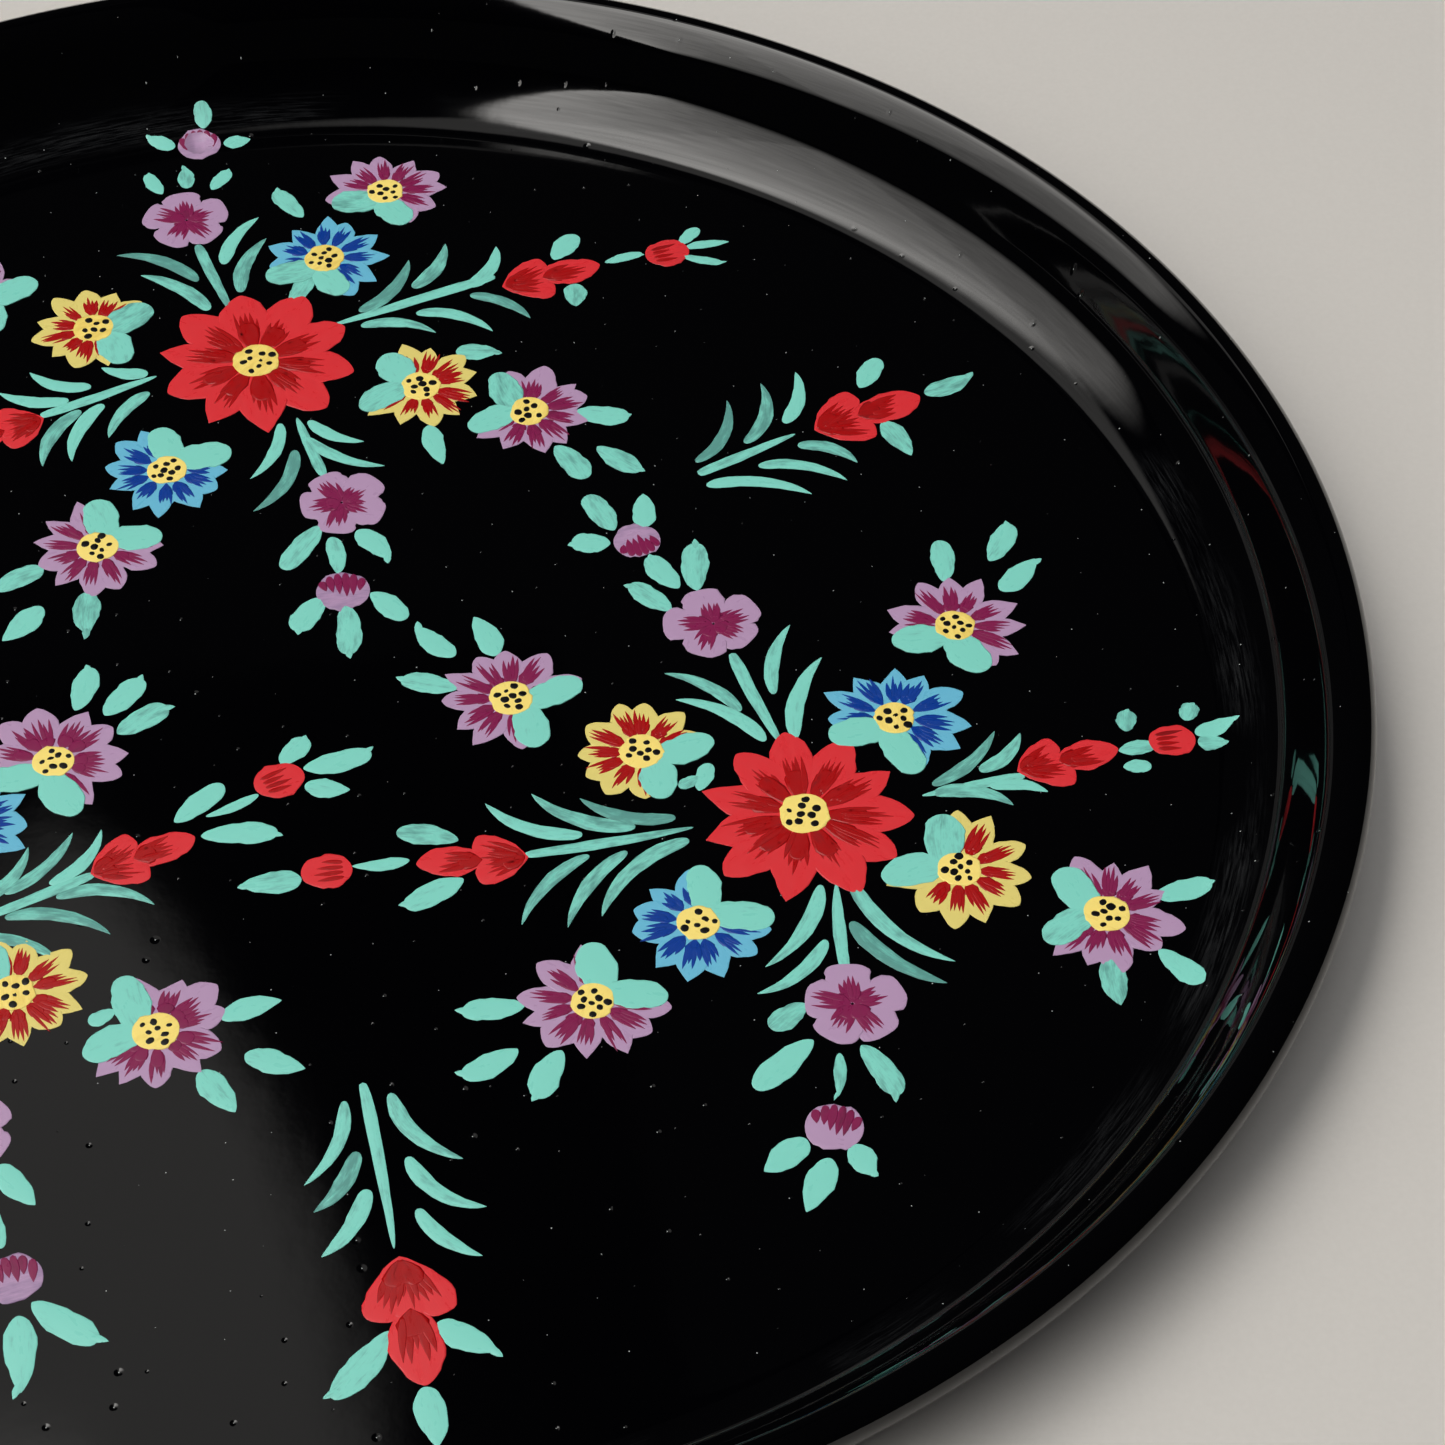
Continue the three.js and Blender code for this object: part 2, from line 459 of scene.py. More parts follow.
@dataclass
class Pan:
    """The pressed sheet: a flat floor, a cove, a straight wall, a crowned shoulder and a wired curl.

    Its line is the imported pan's own, cut finer, with the slight unevenness of a hand-finished rim.
    """

    sheet: float = 0.8
    floor_radius: float = 145
    cove_radius: float = 15
    wall_slope: float = 65
    shoulder_radius: float = 11
    shoulder_slope: float = 36
    curl_radius: float = 3.3
    curl_end_slope: float = -250
    floor_rings: tuple[float, ...] = (0, 8, 30, 60, 90, 115, 130, 138, 142, 144)   # radii
    around: int = 320
    waver: float = 0.05            # height of each wave of the rim, in mm
    waver_inward: float = 0.6      # how much of that the rim wavers in radius
    waves: tuple[tuple[int, float], ...] = ((3, 0.4), (7, 2.1), (11, 4.0))   # waves round it, and phase
    still: float = 3               # mm from the floor's edge out to where the waver starts
    waver_run: float = 18          # mm over which it grows
    finish: StovedLacquer = field(default_factory=StovedLacquer)

    @property
    def rim_radius(self) -> float:
        """Axis to the outermost point of the rim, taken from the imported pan."""
        low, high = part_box("pan")
        return max(high.x, high.y) / MM

    def middle_line(self) -> np.ndarray:
        """The sheet's middle line from the axis to the free edge: radius, height and slope by row.

        Each bend turns about a centre that lies its radius off the line, square to it, on the upper
        side where it is hollow and on the lower side where it is crowned: a point is the centre less
        the radius times the upper side's direction (minus sine, cosine) of the slope there.
        """
        half = self.sheet / 2
        steep, easy, end = map(math.radians, (self.wall_slope, self.shoulder_slope, self.curl_end_slope))
        cove = self.cove_radius + half
        shoulder = half - self.shoulder_radius
        curl = half - self.curl_radius

        def bend(start: np.ndarray, radius: float, turned: float, steps: int) -> np.ndarray:
            """Rows of a bend of a radius from a row to a slope."""
            slopes = np.linspace(start[2], turned, steps + 1)
            side = np.stack([-np.sin(slopes), np.cos(slopes)], 1)
            centre = start[:2] + radius * side[0]
            return np.column_stack([centre - radius * side, slopes])[1:]

        rings = np.array([*self.floor_rings, self.floor_radius])
        floor = np.column_stack([rings, 0 * rings + half, 0 * rings])
        rows = [floor, bend(floor[-1], cove, steep, 22)]
        foot = rows[-1][-1]
        head_radius = self.rim_radius - self.curl_radius + curl * math.sin(easy)
        head_radius += shoulder * (math.sin(steep) - math.sin(easy))
        run = np.linspace(0, head_radius - foot[0], 5)[1:]
        rows.append(np.column_stack([foot[0] + run, foot[1] + run * math.tan(steep), 0 * run + steep]))
        rows.append(bend(rows[-1][-1], shoulder, easy, 10))
        rows.append(bend(rows[-1][-1], curl, end, 40))
        return np.concatenate(rows)

    def build(self) -> bpy.types.Object:
        """Turns the closed outline of the sheet about the axis.

        The outline runs over the upper face, round the free edge and back along the lower face. A
        point at azimuth a is (radius cos a, radius sin a, height). The rim wavers by up to 0.15 mm in
        height and 0.09 mm in radius, as the sum of three slow waves round it, which fades to nothing
        at the foot of the wall.

        Returns:
            The pan, dressed in black lacquer.
        """
        line = self.middle_line()
        side = np.stack([-np.sin(line[:, 2]), np.cos(line[:, 2])], 1) * self.sheet / 2
        outline = np.concatenate([line[:, :2] + side, (line[:, :2] - side)[::-1]])
        inner = outline[1:-1]
        azimuth = np.arange(self.around) * math.tau / self.around
        ring = np.stack([np.cos(azimuth), np.sin(azimuth)], 1)
        climb = np.clip((inner[:, 0] - self.floor_radius - self.still) / self.waver_run, 0, 1)[:, None]
        waves = sum(self.waver * np.sin(n * azimuth + phase) for n, phase in self.waves)
        radius = inner[:, :1] - climb * (self.waver + self.waver_inward * np.abs(waves))
        height = inner[:, 1:] - climb * (self.waver + waves)
        points = np.dstack([radius[..., None] * ring, height])
        count = len(inner)
        poles = np.array([[0, 0, outline[0, 1]], [0, 0, outline[-1, 1]]])
        vertices = np.concatenate([points.reshape(-1, 3), poles])
        near = np.arange(self.around)
        far = (near + 1) % self.around
        last = (count - 1) * self.around
        pole = np.full_like(near, count * self.around)
        top = np.stack([near, far, pole], -1)
        under = np.stack([last + far, last + near, pole + 1], -1)
        faces = grid_faces(count, self.around, True).tolist() + top.tolist() + under.tolist()
        piece = make_piece("lacquered_pan", vertices, faces)
        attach(piece, BODY)
        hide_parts("pan")
        piece.data.materials.append(self.finish.material())
        return piece


# ---- brush marks


class Touch(Enum):
    """How a brush mark swells and tapers: the powers of the way from its tail and from its point."""

    STEM = (0.5, 0.24)
    FOOT = (0.2, 0.5)
    FEATHER = (0.4, 0.75)
    LEAF = (0.62, 0.45)
    KEEN_LEAF = (0.55, 0.8)
    HEART = (0.5, 0.45)
    PETAL = (0.8, 0.68)
    KEEN_PETAL = (0.75, 0.95)
    LOBE = (0.7, 0.34)
    TULIP = (0.6, 0.65)
    HOOD = (0.85, 0.32)
    SHADE = (0.95, 0.5)
    COMB = (0.5, 0.9)
    ROUND = (0.5, 0.5)


class Layer(Enum):
    """The order the paint goes on: height of a mark's edge and of its crown over that, in mm."""

    STEM = (0.02, 0.06)
    PETAL = (0.05, 0.035)
    COMB = (0.105, 0.012)
    HEART = (0.125, 0.045)
    CENTRE = (0.165, 0.06)
    DOT = (0.22, 0.03)


@dataclass(frozen=True)
class Mark:
    """One mark of the brush, from its tail to its point, turning evenly by bend degrees on the way."""

    tail: Point
    point: Point
    width: float
    touch: Touch
    layer: Layer
    bend: float
    load: float


@dataclass(frozen=True)
class Grain:
    """How finely the marks of one paint are cut: rings along each, and points over its crown."""

    along: int
    across: tuple[float, ...]


BROAD = Grain(17, (-1.0, -0.93, -0.6, 0.0, 0.6, 0.93, 1.0))
FINE = Grain(7, (-1.0, -0.75, 0.75, 1.0))


def steer(at: Point, bearing: float, reach: float, aside: float = 0.0) -> Point:
    """The point that lies at a bearing in degrees and a reach from another, stepped aside to its left."""
    turn = math.radians(bearing)
    east = at[0] + reach * math.cos(turn) - aside * math.sin(turn)
    north = at[1] + reach * math.sin(turn) + aside * math.cos(turn)
    return east, north


class Hand:
    """The painter's hand: it lays marks from each pot, never twice quite alike."""

    def __init__(self, seed: int) -> None:
        """Takes up the brush with a fixed seed."""
        self.dice = np.random.default_rng(seed)
        self.marks: dict[Paint, list[Mark]] = {paint: [] for paint in Paint}

    def sway(self, amount: float) -> float:
        """A random number within plus or minus an amount."""
        return float(self.dice.uniform(-amount, amount))

    def lay(
        self, paint: Paint, tail: Point, point: Point, width: float, touch: Touch, layer: Layer,
        bend: float = 0.0, load: float | None = None,
    ) -> None:
        """Lays one mark.

        Args:
            paint: the pot it comes from.
            tail: where the brush comes down.
            point: where it lifts off.
            width: the mark's greatest width.
            touch: how it swells and tapers.
            layer: what it lies over.
            bend: degrees that it turns to the left on the way.
            load: how full the brush is, from 0, dry, to 1.
        """
        if load is None:
            load = 0.72 + self.sway(0.25)
        self.marks[paint].append(Mark(tail, point, width, touch, layer, bend, load))

    def comb(
        self, paint: Paint, at: Point, bearing: float, inner: float, outer: float, spread: float,
        strokes: int, patch: float = 0.6,
    ) -> None:
        """Shades a petal from its foot: a patch, pulled out in fine strokes that open towards the tip.

        Args:
            paint: the pot of the shade.
            at: the flower's middle.
            bearing: the petal's bearing in degrees.
            inner: reach of the shade's foot.
            outer: reach of the longest stroke's point.
            spread: width of the shade where it is widest.
            strokes: how many strokes are pulled out.
            patch: how much of the shade's length the patch takes.
        """
        length = outer - inner
        foot = steer(at, bearing, inner)
        end = steer(at, bearing, inner + patch * length)
        self.lay(paint, foot, end, spread * self.dice.uniform(0.85, 1.0), Touch.SHADE, Layer.COMB,
                 bend=self.sway(8), load=0.8 + self.sway(0.2))
        for i in range(strokes):
            side = (2 * i + 1) / strokes - 1
            tip = outer - length * (0.1 * abs(side) + self.dice.uniform(-0.06, 0.26))
            start = inner + patch * length * self.dice.uniform(0.2, 0.6)
            root = steer(at, bearing, start, 0.3 * spread * side)
            point = steer(at, bearing, tip, 0.54 * spread * side + self.sway(0.2))
            width = spread / strokes * self.dice.uniform(0.9, 1.45)
            self.lay(paint, root, point, width, Touch.COMB, Layer.COMB, bend=-8 * side + self.sway(8),
                     load=0.85 + self.sway(0.15))

    def seeds(self, at: Point, radius: float, count: int) -> None:
        """Dots black seeds over a flower's centre, on a sunflower's spiral shaken by hand."""
        first = self.dice.uniform(0, 360)
        for i in range(count):
            reach = 0.8 * radius * math.sqrt((i + 0.3) / count)
            size = self.dice.uniform(0.95, 1.55)
            aim = self.dice.uniform(0, 360)
            spot = steer(steer(at, first + 137.5 * i + self.sway(10), reach), aim, -size / 2)
            self.lay(Paint.BLACK, spot, steer(spot, aim, size), size * self.dice.uniform(0.75, 1.0),
                     Touch.ROUND, Layer.DOT)

    def disc(self, paint: Paint, at: Point, radius: float, layer: Layer, stretch: float = 1.0,
             bearing: float = 0.0) -> None:
        """Lays a round or oval dab about a middle, stretched along a bearing."""
        tail = steer(at, bearing, -radius * stretch)
        point = steer(at, bearing, radius * stretch)
        self.lay(paint, tail, point, 2 * radius, Touch.ROUND, layer)


# ---- motifs


@dataclass(frozen=True)
class Leaf:
    """A mint leaf from its foot to its tip."""

    line: Line
    width: float = 4.4

    def paint(self, hand: Hand) -> None:
        """Lays the leaf, and on about half of them the flick of the brush as it lifts off."""
        x0, y0, x1, y1 = self.line
        touch = Touch.KEEN_LEAF if hand.dice.uniform() < 0.45 else Touch.LEAF
        bend = hand.sway(26)
        load = 0.78 + hand.sway(0.25)
        hand.lay(Paint.MINT, (x0, y0), (x1, y1), self.width + hand.sway(0.4), touch, Layer.STEM,
                 bend=bend, load=load)
        if hand.dice.uniform() < 0.5:
            away = math.degrees(math.atan2(y1 - y0, x1 - x0)) + bend / 2
            flick = away + math.copysign(hand.dice.uniform(25, 60), hand.sway(1))
            length = math.hypot(x1 - x0, y1 - y0)
            end = steer((x1, y1), flick, length * hand.dice.uniform(0.07, 0.14))
            hand.lay(Paint.MINT, steer((x1, y1), away, -0.13 * length), end, 0.3 * self.width,
                     Touch.COMB, Layer.STEM, bend=hand.sway(20), load=load)


@dataclass(frozen=True)
class Spray:
    """A stem with feathery strokes that leave it along its run and turn away to either side."""

    stem: Line
    strokes: tuple[Line, ...]
    heavy_foot: bool = False       # the stem is broad at its foot and not at its head
    stem_width: float = 2.1
    stroke_width: float = 2.6

    def paint(self, hand: Hand) -> None:
        """Lays the stem, then the strokes: one on the stem's left turns left, and on its right, right."""
        x0, y0, x1, y1 = self.stem
        touch = Touch.FOOT if self.heavy_foot else Touch.STEM
        hand.lay(Paint.MINT, (x0, y0), (x1, y1), self.stem_width + hand.sway(0.2), touch,
                 Layer.STEM, bend=hand.sway(7), load=0.62 + hand.sway(0.15))
        for a0, b0, a1, b1 in self.strokes:
            left = (x1 - x0) * (b1 - b0) - (y1 - y0) * (a1 - a0) > 0
            bend = hand.dice.uniform(42, 68) * (1 if left else -1)
            hand.lay(Paint.MINT, (a0, b0), (a1, b1), self.stroke_width + hand.sway(0.35),
                     Touch.FEATHER, Layer.STEM, bend=bend, load=0.58 + hand.sway(0.32))


@dataclass(frozen=True)
class RedFlower:
    """The large red flower in the middle of a medallion."""

    at: Point
    petals: int
    turn: float
    reach: float = 17.6
    heart: float = 4.0
    widest: float = 10             # mm out to where a petal is widest
    overlap: float = 1.38          # its width there, as a share of its part of the round

    def paint(self, hand: Hand) -> None:
        """Lays the petals round, a crimson comb on each, then the centre and its seeds."""
        step = 360 / self.petals
        for i in range(self.petals):
            bearing = self.turn + step * i + hand.sway(3)
            reach = self.reach + hand.sway(1.1)
            touch = Touch.KEEN_PETAL if hand.dice.uniform() < 0.4 else Touch.PETAL
            width = 2 * self.widest * math.tan(math.radians(step / 2)) * self.overlap + hand.sway(0.5)
            tip = steer(self.at, bearing + hand.sway(2), reach)
            hand.lay(Paint.RED, steer(self.at, bearing, 0.5), tip, width, touch, Layer.PETAL,
                     bend=hand.sway(9), load=0.95)
            hand.comb(Paint.CRIMSON, self.at, bearing, self.heart - 1.6, 13.2 + hand.sway(1.0),
                      0.48 * width, 5, 0.7)
        hand.disc(Paint.BUTTER, self.at, self.heart, Layer.CENTRE, 1.05, hand.sway(90))
        hand.seeds(self.at, self.heart, 9)


class Hue(Enum):
    """The daisies' colours: the petals' paint, the comb's, its foot's reach past the centre, its spread as
    a share of the petal's width, its strokes, and how much of it the patch takes."""

    LILAC = (Paint.LILAC, Paint.MAGENTA, -0.6, 0.48, 4, 0.45)
    BLUE = (Paint.SKY, Paint.NAVY, -0.2, 0.5, 4, 0.58)
    YELLOW = (Paint.LEMON, Paint.CRIMSON, -0.5, 0.5, 4, 0.48)


@dataclass(frozen=True)
class Daisy:
    """A small many-petalled flower with two leaves over it, spread like a heart towards the medallion's
    middle, and single leaves fanned behind it."""

    hue: Hue
    at: Point
    heart: float                                # bearing that the pair of leaves is spread about
    fan: tuple[tuple[float, float], ...] = ()   # bearing and reach of each leaf behind
    radius: float = 11.5
    petals: int = 9
    centre: float = 3.4
    bare: float = 54               # degrees either side of the pair's bearing that have no petals
    spread: float = 46             # degrees from that bearing to each of the pair
    leaf_width: float = 6.0
    leaf_bend: float = 22
    fan_length: float = 9.6

    def paint(self, hand: Hand) -> None:
        """Lays the fan, the petals and their combs, the pair of leaves, the centre and its seeds."""
        petal_paint, comb_paint, past, share, strokes, patch = self.hue.value
        for bearing, reach in self.fan:
            foot = steer(self.at, bearing + hand.sway(4), reach - self.fan_length)
            Leaf((*foot, *steer(self.at, bearing, reach))).paint(hand)
        step = (360 - 2 * self.bare) / (self.petals - 1)
        for i in range(self.petals):
            bearing = self.heart + self.bare + step * i + hand.sway(5)
            reach = self.radius * hand.dice.uniform(0.9, 1.08)
            width = self.radius * math.radians(step) * 0.86 * hand.dice.uniform(0.9, 1.18)
            touch = Touch.KEEN_PETAL if hand.dice.uniform() < 0.5 else Touch.PETAL
            tip = steer(self.at, bearing + hand.sway(5), reach)
            hand.lay(petal_paint, steer(self.at, bearing, 0.8), tip, width, touch, Layer.PETAL,
                     bend=hand.sway(16), load=0.92 + hand.sway(0.08))
            outer = self.radius * hand.dice.uniform(0.76, 0.92)
            hand.comb(comb_paint, self.at, bearing, self.centre + past, outer, share * width, strokes,
                      patch + hand.sway(0.1))
        for side in (-1, 1):
            aim = self.heart + side * (self.spread + hand.sway(6))
            tip = steer(self.at, aim, self.radius + hand.sway(0.8))
            hand.lay(Paint.MINT, steer(self.at, self.heart, 2.0), tip, self.leaf_width + hand.sway(0.6),
                     Touch.HEART, Layer.HEART, bend=side * self.leaf_bend, load=0.8 + hand.sway(0.24))
        hand.disc(Paint.BUTTER, self.at, self.centre + hand.sway(0.15), Layer.CENTRE, 1.04, hand.sway(90))
        hand.seeds(self.at, self.centre, 7 + int(hand.dice.integers(0, 3)))


@dataclass(frozen=True)
class Blossom:
    """A lilac flower of five broad petals, combed with magenta from its middle."""

    at: Point
    turn: float
    radius: float = 7.8

    def paint(self, hand: Hand) -> None:
        """Lays the five petals and their combs."""
        for i in range(5):
            bearing = self.turn + 72 * i + hand.sway(5)
            reach = self.radius + hand.sway(0.6)
            hand.lay(Paint.LILAC, steer(self.at, bearing, 0.2), steer(self.at, bearing, reach),
                     self.radius * 0.93, Touch.LOBE, Layer.PETAL, bend=hand.sway(10), load=0.95)
            aim = bearing + hand.sway(8)
            outer = self.radius * hand.dice.uniform(0.68, 0.86)
            hand.comb(Paint.MAGENTA, self.at, aim, 0.2, outer, 3.6, 5, 0.45)


@dataclass(frozen=True)
class LilacBud:
    """A round lilac bud, its head combed with magenta."""

    at: Point
    heading: float      # bearing of its head
    radius: float = 3.9

    def paint(self, hand: Hand) -> None:
        """Lays the bud, then the strokes from its head towards its foot."""
        hand.disc(Paint.LILAC, self.at, self.radius, Layer.PETAL, 1.02, self.heading + 90)
        for i in range(6):
            aside = (i - 2.5) / 2.5 * self.radius * 0.78
            head = math.sqrt(self.radius ** 2 - aside ** 2)
            foot = steer(self.at, self.heading, head * 0.96, aside)
            point = steer(self.at, self.heading, -0.6 + hand.sway(1.0), aside * 0.8)
            hand.lay(Paint.MAGENTA, foot, point, 1.45, Touch.COMB, Layer.COMB, bend=hand.sway(8))


@dataclass(frozen=True)
class RedBud:
    """An oval red bud with crimson strokes along it."""

    at: Point
    heading: float
    radius: float = 3.5

    def paint(self, hand: Hand) -> None:
        """Lays the bud and its strokes."""
        hand.disc(Paint.RED, self.at, self.radius, Layer.PETAL, 1.15, self.heading)
        for i in range(4):
            aside = (i - 1.5) * 1.25
            foot = steer(self.at, self.heading, -2.6, aside * 0.8)
            point = steer(self.at, self.heading, 1.4 + hand.sway(0.8), aside)
            hand.lay(Paint.CRIMSON, foot, point, 0.9, Touch.COMB, Layer.COMB, bend=hand.sway(8))


@dataclass(frozen=True)
class Tulip:
    """A red tulip in profile: a bell of three petals from its foot, and a long one out of its mouth.

    Its sizes are shares of its length.
    """

    line: Line
    hood: float = 0.48
    mouth: float = 0.39            # where the long petal comes out
    width: float = 0.35
    flare: float = 24              # degrees from the hood's middle petal to each outer one

    def paint(self, hand: Hand) -> None:
        """Lays the long petal, the bell over it, and the crimson along each."""
        x0, y0, x1, y1 = self.line
        foot = (x0, y0)
        length = math.hypot(x1 - x0, y1 - y0)
        bearing = math.degrees(math.atan2(y1 - y0, x1 - x0))
        width = self.width * length
        mouth = steer(foot, bearing, self.mouth * length)
        hand.lay(Paint.RED, mouth, (x1, y1), width, Touch.TULIP, Layer.PETAL, bend=hand.sway(8), load=0.9)
        hand.comb(Paint.CRIMSON, mouth, bearing, 0.02 * length, 0.45 * length, 0.7 * width, 5, 0.5)
        for side in (-1, 1, 0):
            aim = bearing + side * (self.flare + hand.sway(2))
            reach = length * (self.hood + 0.05 * abs(side) + hand.sway(0.025))
            hand.lay(Paint.RED, foot, steer(foot, aim, reach), 0.74 * width, Touch.HOOD, Layer.PETAL,
                     bend=-side * 12, load=0.9)
            hand.comb(Paint.CRIMSON, foot, aim - 3 * side, 0.03 * length, 0.88 * reach, 0.5 * width, 4, 0.5)


Motif = Leaf | Spray | RedFlower | Daisy | Blossom | LilacBud | RedBud | Tulip


def leaves(*lines: Line, width: float = 4.4) -> tuple[Leaf, ...]:
    """Leaves from foot to tip, all of one width."""
    return tuple(Leaf(line, width) for line in lines)


# ---- the layout, mm from the tray's middle


# The medallion to the viewer's right.
RIGHT_MEDALLION: tuple[Motif, ...] = (
    Spray((74.5, -18, 69.5, 3), ((69, -10, 58, 0), (72, -17, 59, -6), (75, -7, 80, 8), (77, -17, 84, 0))),
    Spray((95, -32, 112, -30), ((97, -30, 109, -20), (105, -28, 113, -21), (97, -32, 109, -36),
        (106, -31.5, 115, -34))),
    Spray((78.5, -48, 77, -65.5), ((76, -48, 65, -63), (75, -59, 63, -68), (81, -48, 94, -66),
        (79.5, -56, 92, -70))),
    Spray((58, -33.5, 31, -35.5), ((40.5, -32.5, 26, -24), (49, -32, 33.5, -23), (55.5, -31, 41, -25),
        (41, -37, 29, -49.5), (47, -37, 36, -51), (57, -36, 41.5, -49.5))),
    *leaves((61, 14, 55, 21), (63, 19, 59, 27), (66, 18, 67.5, 29), (54, 34, 50.5, 43), (59, 34, 60, 42),
        (53, 31, 46.5, 32)),
    *leaves((140, -22, 142, -18.5), (141, -25, 148, -23), (141, -27, 145.5, -28), (130, -23, 131, -18.5),
        (128, -27, 134, -26.5), (128, -30.5, 132.5, -31), width=3.2),
    *leaves((70, -71, 64, -75), (70, -78, 60, -86), (77, -80, 81, -90), (66, -96, 59, -101),
        (69, -100, 64, -109), (73, -98, 75, -104), (21, -31, 11.5, -28), (21, -39, 11.5, -43.5),
        (-4, -35.5, -13.5, -35.5)),
    Leaf((73.5, -81, 72, -89), 2.0), Leaf((13, -34, 4, -34), 2.4),
    *leaves((57, -25, 60.5, -23), (60, -26, 62.5, -20.5), width=2.6),
    RedFlower((75.8, -33.2), 11, -8),
    Daisy(Hue.YELLOW, (52, -16.5), -39, radius=11), Daisy(Hue.YELLOW, (98, -48), 137),
    Daisy(Hue.BLUE, (93.5, -15), -130, radius=11.8), Daisy(Hue.BLUE, (56, -53), 40, radius=11),
    Daisy(Hue.LILAC, (107, 4), -123, ((88, 20), (59, 26), (40, 21))),
    Daisy(Hue.LILAC, (119, -60), 159, ((14, 18), (-95, 18), (-55, 20))),
    Daisy(Hue.LILAC, (38, -66), 45, ((178, 20), (-152, 24), (-121, 20))),
    Daisy(Hue.LILAC, (32.5, -2), -37, ((127, 23), (102, 19.5), (159, 18.5))),
    Blossom((67.5, 10), 30), Blossom((77, -72), 18),
    LilacBud((57.5, 31), -80), LilacBud((70.5, -94.5), 70, 4.3),
    Tulip((111, -29, 128, -26.5)), Tulip((31.5, -36, 14, -35)),
    RedBud((137, -26), 0, 3.3), RedBud((0, -34.5), 180),
)

# The medallion at the back, less its left arm.
BACK_MEDALLION: tuple[Motif, ...] = (
    Spray((-6.5, 98, -11.5, 117), ((-12, 107, -26, 116), (-10.5, 99, -22, 110), (-7, 111, 0, 123),
        (-4.5, 103, 1, 117))),
    Spray((11, 92, 41, 101), ((16, 95, 26, 107.5), (26, 100, 33, 111), (36, 99, 42, 109),
        (16, 91, 29, 87.5), (26, 93, 39, 86.5), (36, 96.5, 46, 89))),
    Spray((3, 69, 6.5, 54), ((0, 68, -6, 55), (2, 61, -6, 47), (5, 68, 14, 61.5), (4, 64, 17, 55))),
    *leaves((-17, 132, -19.5, 138), (-12.5, 133, -12.5, 139), (-8, 132, -4.5, 137), (-14, 145, -19, 148),
        (-8.5, 149, -8.5, 154), (-5, 145, 0, 145.5), width=3.2),
    *leaves((8, 122, 3.5, 130), (4, 99, 8, 106), (52, 104, 57, 110), (55, 97, 54.5, 91), (32, 82, 39.5, 81),
        (25.5, 64, 27, 54), width=4.0),
    *leaves((61, 102, 68, 103.5), (75, 105, 79, 109), (76, 104, 84, 104.5), (75, 102, 82, 99), width=2.3),
    *leaves((5, 42, -2, 32.5), (11, 40, 16, 32.5), (4, 25, -1, 18), (7.5, 23, 7, 11.5), (12, 25, 17, 18)),
    Leaf((6.5, 39, 7, 30), 3.2),
    RedFlower((-3, 84.5), 10, -14, 18),
    Daisy(Hue.YELLOW, (25, 74), 158, radius=11), Daisy(Hue.YELLOW, (-31, 97), -22, radius=10.5),
    Daisy(Hue.BLUE, (11, 110), -121, radius=11), Daisy(Hue.BLUE, (-20, 59), 54, radius=11),
    Daisy(Hue.LILAC, (23.5, 127), -120, radius=10.5),
    Daisy(Hue.LILAC, (43, 65), 155, ((-12, 17.5), (-45, 24.5), (-67, 19.5)), radius=11),
    Daisy(Hue.LILAC, (-32.5, 42), 50, ((-155, 19.5), (-130, 25.5), (-97, 20)), radius=11),
    Daisy(Hue.LILAC, (-52, 108), -30, ((127, 21), (102, 19.5), (159, 18.5)), radius=11),
    Blossom((-13, 124), 20, 7.5), Blossom((9, 47), 40, 7.5),
    LilacBud((-9.5, 145), 95), LilacBud((7.5, 26), 90, 4.4),
    Tulip((42, 98, 60, 101.5)),
    RedBud((72.5, 103), 10),
)

# The left arm of the back medallion.
LEFT_ARM: tuple[Motif, ...] = (
    Spray((-20.5, 83, -41, 75.5), ((-22, 84, -30, 86.5), (-32, 82, -42.5, 87), (-36, 79, -48, 82.5),
        (-22, 79, -29.5, 68.5), (-30, 77, -36, 63.5), (-34, 76, -41, 63))),
    *leaves((-50, 79, -59, 83), (-50, 67, -58, 61)),
    Leaf((-58, 69.5, -65, 67), 2.3),
    *leaves((-73, 66, -80, 68), (-73, 63, -82, 61), (-71, 61, -76, 56), width=3.2),
    Tulip((-40.5, 75, -57, 69.5)),
    RedBud((-69, 65), 200),
)

